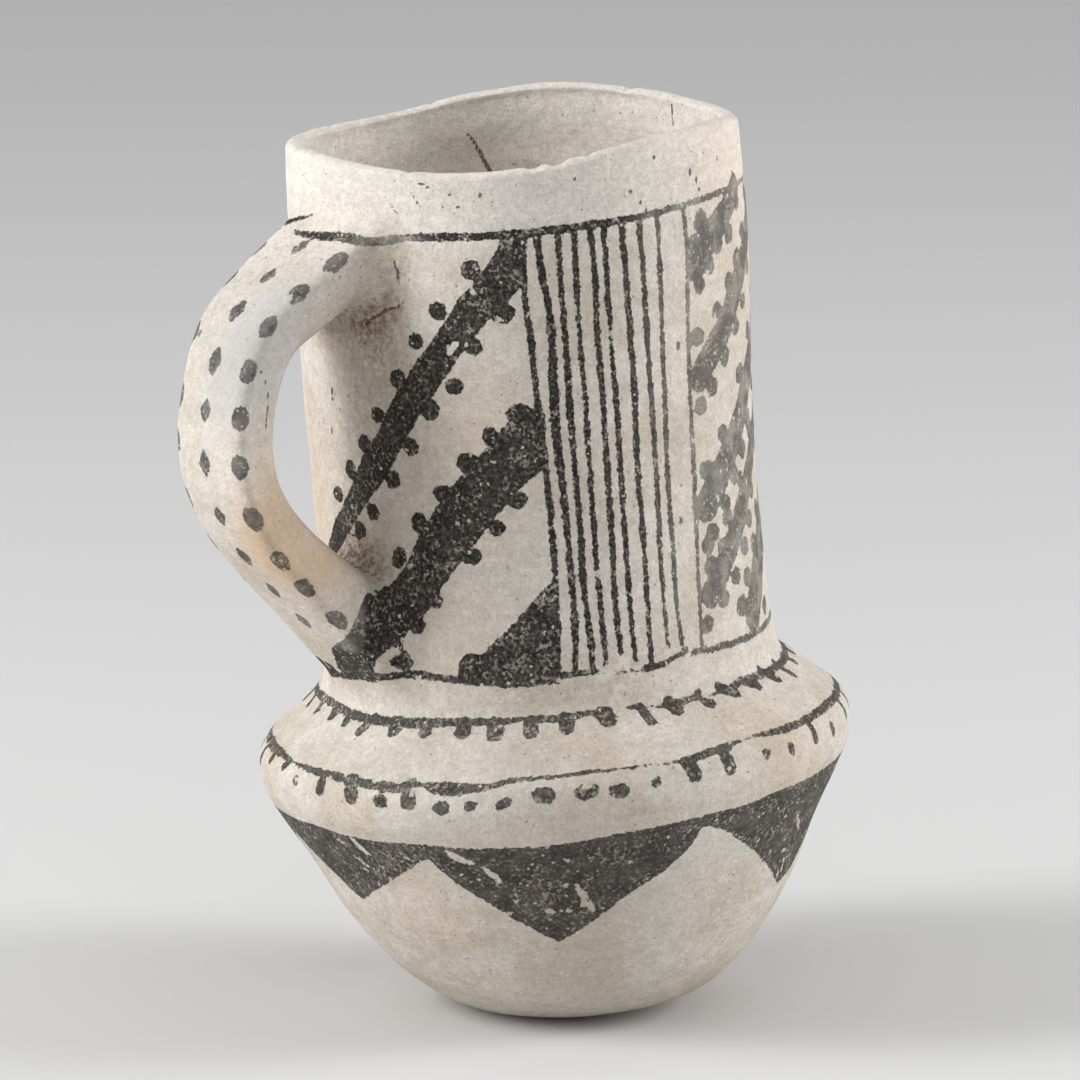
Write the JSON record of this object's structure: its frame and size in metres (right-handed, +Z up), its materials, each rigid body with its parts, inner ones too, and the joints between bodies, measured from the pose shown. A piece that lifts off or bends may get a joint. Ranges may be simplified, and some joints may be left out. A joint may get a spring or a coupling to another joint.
{
  "type": "pottery drinking vessel",
  "caption": "Leaning coil-built pottery drinking vessel: rounded bowl, sharp shoulder, tall open neck and strap handle, white slip with dark painted bands, stripes and triangles.",
  "frame": {"origin": "on the floor under the middle of the foot, on the foot's worn flat", "axes": "+Z up from the floor, the strap handle lies along -X, and the vessel leans 5.2 degrees from upright towards the handle side"},
  "size_m": [0.1424, 0.119, 0.1833],
  "materials": {
    "white_slip": "matte chalky white slip with worn charcoal paint",
    "luting_clay": "matte smoothed clay, slipped thinly and soiled"
  },
  "bodies": {
    "root": {"base_disc": "white_slip", "bowl_coil_1": "white_slip", "bowl_coil_2": "white_slip", "bowl_coil_3": "white_slip", "bowl_coil_4": "white_slip", "bowl_coil_5": "white_slip", "shoulder_coil_1": "white_slip", "shoulder_coil_2": "white_slip", "neck_coil_1": "white_slip", "neck_coil_2": "white_slip", "neck_coil_3": "white_slip", "neck_coil_4": "white_slip", "neck_coil_5": "white_slip", "neck_coil_6": "white_slip", "neck_coil_7": "white_slip", "neck_coil_8": "white_slip", "rim_coil": "white_slip", "strap_handle": "white_slip", "upper_handle_luting": "luting_clay", "lower_handle_luting": "luting_clay"}
  },
  "joints": []
}
